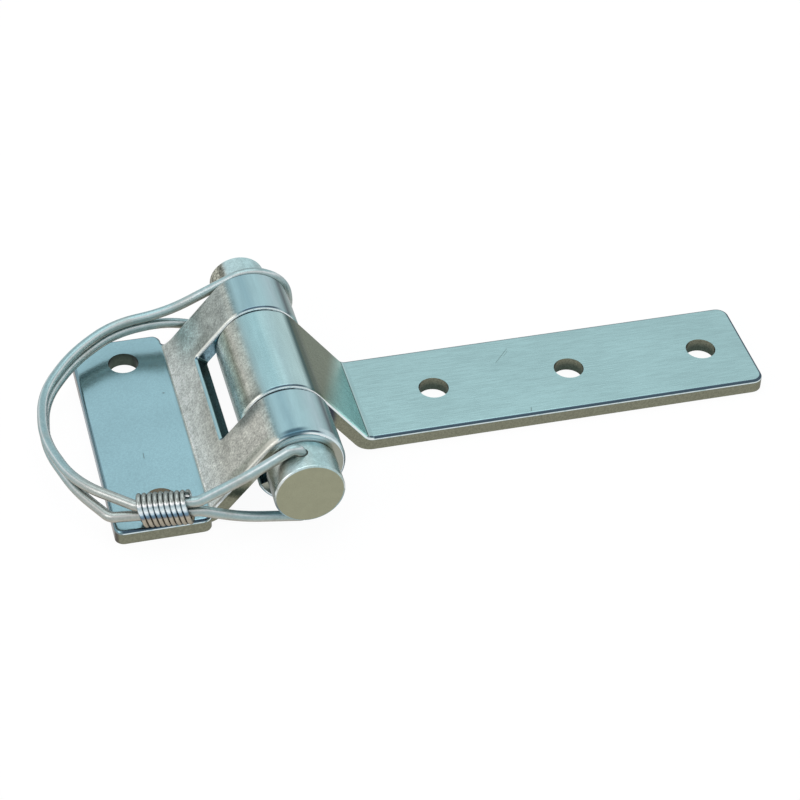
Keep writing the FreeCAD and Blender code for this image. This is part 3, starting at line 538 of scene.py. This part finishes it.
def coil_zinc():
    """Fine coil wire, bronze on top, a painted bluish white highlight on its flank and warm below, with
    painted shade between turns.
    """
    metal = Metal("coil_zinc")
    to_pin = metal.math("SUBTRACT", PIN_X, metal.x)
    above_level = metal.math("SUBTRACT", metal.z, COIL_LEVEL)
    height = metal.math("MULTIPLY_ADD", to_pin, math.tan(CLIP_TILT), above_level)
    metal.colour = metal.ramp(height, COIL_SKIN_AND_HIGHLIGHTS[0][0], COIL_SKIN_AND_HIGHLIGHTS[-1][0], COIL_SKIN_AND_HIGHLIGHTS)
    along = metal.add("ShaderNodeVectorMath", {0: metal.normal, 1: tuple(COIL_WAY)}, operation="DOT_PRODUCT")
    between = metal.step(metal.math("ABSOLUTE", along.outputs["Value"]), 0.55, 0.95)
    # painted shade in the grooves between the turns
    metal.lay(TURN_GAP_SHADE, between, 0.34)
    fine = metal.noise(1600, 3, 0.6)
    metal.speckle(1.0, fine, 0.12)
    return metal.finish(0.22, fine, 0.78, 0.12, 0.0001)


def dress(node, material):
    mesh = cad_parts[node].data
    mesh.materials.clear()
    mesh.materials.append(material)


dress("bracket_leaf", bracket_zinc())
dress("strap_leaf", strap_zinc())
dress("hinge_pin", pin_zinc())
dress("clip_wire", wire_zinc())


# Coil of the clip: one fine wire wound as an oval helix round both legs

def oval_point(girth_share, radius, half_spacing):
    """Point of the coil's cross section, from the middle of the flank away from the bracket, going up."""
    quarter = math.pi * radius / 2
    girth = 4 * (half_spacing + quarter)
    run = (girth_share % 1) * girth
    if run < half_spacing:
        return radius, run
    run -= half_spacing
    if run < 2 * quarter:
        angle = run / radius
        return radius * math.cos(angle), half_spacing + radius * math.sin(angle)
    run -= 2 * quarter
    if run < 2 * half_spacing:
        return -radius, half_spacing - run
    run -= 2 * half_spacing
    if run < 2 * quarter:
        angle = math.pi + run / radius
        return radius * math.cos(angle), -half_spacing + radius * math.sin(angle)
    return radius, run - 2 * quarter - half_spacing


def tube(name, points, radius, sides=16):
    """Closed round tube along a line of points."""
    verts, faces = [], []
    across = Vector((0, 0, 1))
    for number, point in enumerate(points):
        ahead = points[min(number + 1, len(points) - 1)] - points[max(number - 1, 0)]
        ahead.normalize()
        across = (across - ahead * across.dot(ahead)).normalized()
        beside = ahead.cross(across)
        for side in range(sides):
            angle = 2 * math.pi * side / sides
            verts.append(point + (across * math.cos(angle) + beside * math.sin(angle)) * radius)
    for ring in range(len(points) - 1):
        base, above = ring * sides, (ring + 1) * sides
        for side in range(sides):
            follow = (side + 1) % sides
            faces.append((base + side, base + follow, above + follow, above + side))
    faces.append(tuple(range(sides)))
    faces.append(tuple(reversed(range(len(verts) - sides, len(verts)))))
    mesh = bpy.data.meshes.new(name)
    mesh.from_pydata(verts, [], faces)
    mesh.validate()
    mesh.polygons.foreach_set("use_smooth", [True] * len(mesh.polygons))
    made = bpy.data.objects.new(name, mesh)
    bpy.context.scene.collection.objects.link(made)
    return made


def build_coil():
    sideways = Vector((-COIL_WAY.y, COIL_WAY.x, 0))
    to_row = Matrix.Translation((PIN_X, 0, PIN_Z)) @ Matrix.Rotation(-CLIP_TILT, 4, "Y")
    radius = CLIP_WIRE / 2 + LEG_GAP + COIL_WIRE / 2
    steps_per_turn = 48
    points = []
    for number in range((COIL_TURNS - 1) * steps_per_turn + steps_per_turn // 2):
        turns = number / steps_per_turn
        aside, height = oval_point(turns + 0.25, radius, LEG_SPACING / 2)
        along = (turns + 0.5) * COIL_PITCH + COIL_LEAN * height
        point = COIL_START + COIL_WAY * along + sideways * aside + Vector((0, 0, height))
        points.append((to_row @ point) * MM)
    # A hair thinner than the wire, for a little more room between turns
    coil = tube("wound_coil", points, COIL_WIRE / 2 * 0.99 * MM)
    coil.data.materials.append(coil_zinc())
    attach(coil, "clip")
    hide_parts("clip_coil")


build_coil()


# Floor, light and camera

def plainly_seen(shader):
    """1 for what the camera, a reflection or glass sees, and 0 for what lights the object."""
    path = shader.add("ShaderNodeLightPath")
    seen = shader.math("MAXIMUM", path.outputs["Is Camera Ray"], path.outputs["Is Glossy Ray"])
    return shader.math("MAXIMUM", seen, path.outputs["Is Transmission Ray"])


def build_floor():
    """Pale floor, seen as nearly plain white and still darker where the object shades it."""
    half, sunk, whiteness = 3.0, 0.0002, 0.92
    material = bpy.data.materials.new("pale_floor")
    shader = Shader(material)
    lit = shader.add("ShaderNodeBsdfDiffuse", {"Color": (0.92, 0.92, 0.92, 1)})
    white = shader.add("ShaderNodeEmission", {"Color": (1, 1, 1, 1), "Strength": 1.03})
    share = shader.math("MULTIPLY", plainly_seen(shader), whiteness)
    mixed = shader.add("ShaderNodeMixShader", {0: share, 1: lit, 2: white})
    shader.add("ShaderNodeOutputMaterial", {"Surface": mixed})
    mesh = bpy.data.meshes.new("floor")
    corners = [(-half, -half, 0), (half, -half, 0), (half, half, 0), (-half, half, 0)]
    mesh.from_pydata(corners, [], [(0, 1, 2, 3)])
    mesh.materials.append(material)
    floor = bpy.data.objects.new("floor", mesh)
    bpy.context.scene.collection.objects.link(floor)
    floor.location.z = -sunk


def build_world():
    world = bpy.data.worlds.new("studio")
    bpy.context.scene.world = world
    shader = Shader(world)
    lighting = shader.add("ShaderNodeBackground", {"Color": (0.93, 0.96, 1.0, 1), "Strength": 0.55})
    white = shader.add("ShaderNodeBackground", {"Color": (1, 1, 1, 1), "Strength": 1.0})
    mixed = shader.add("ShaderNodeMixShader", {0: plainly_seen(shader), 1: lighting, 2: white})
    shader.add("ShaderNodeOutputWorld", {"Surface": mixed})


def soft_lamp(name, place, aim, width, depth, watts):
    data = bpy.data.lights.new(name, "AREA")
    data.shape = "RECTANGLE"
    data.size, data.size_y = width, depth
    data.energy = watts
    lamp = bpy.data.objects.new(name, data)
    bpy.context.scene.collection.objects.link(lamp)
    lamp.location = place
    lamp.rotation_euler = (Vector(aim) - Vector(place)).to_track_quat("-Z", "Y").to_euler()


def build_lamps():
    """Two soft boxes, placed and sized in metres."""
    middle = (0.07, 0.0, 0.01)
    soft_lamp("overhead_softbox", (0.05, 0.25, 0.9), middle, 0.9, 0.7, 2.4)
    soft_lamp("left_softbox", (-0.8, -0.3, 0.55), middle, 0.5, 0.5, 1.5)


def build_camera():
    """The photograph's viewpoint."""
    place = Vector((-76.57, -516.96, 461.37)) * MM
    aim = Vector((69.14, -15.74, 15.0)) * MM
    roll = Matrix.Rotation(math.radians(2.37), 4, "Z")
    data = bpy.data.cameras.new("camera")
    data.lens = 112.88
    data.sensor_width = 36
    data.clip_start, data.clip_end = 0.05, 20
    camera = bpy.data.objects.new("camera", data)
    bpy.context.scene.collection.objects.link(camera)
    level = (aim - place).to_track_quat("-Z", "Y").to_matrix().to_4x4()
    camera.matrix_world = Matrix.Translation(place) @ level @ roll
    bpy.context.scene.camera = camera


build_floor()
build_world()
build_lamps()
build_camera()
bpy.context.scene.view_settings.view_transform = "Standard"
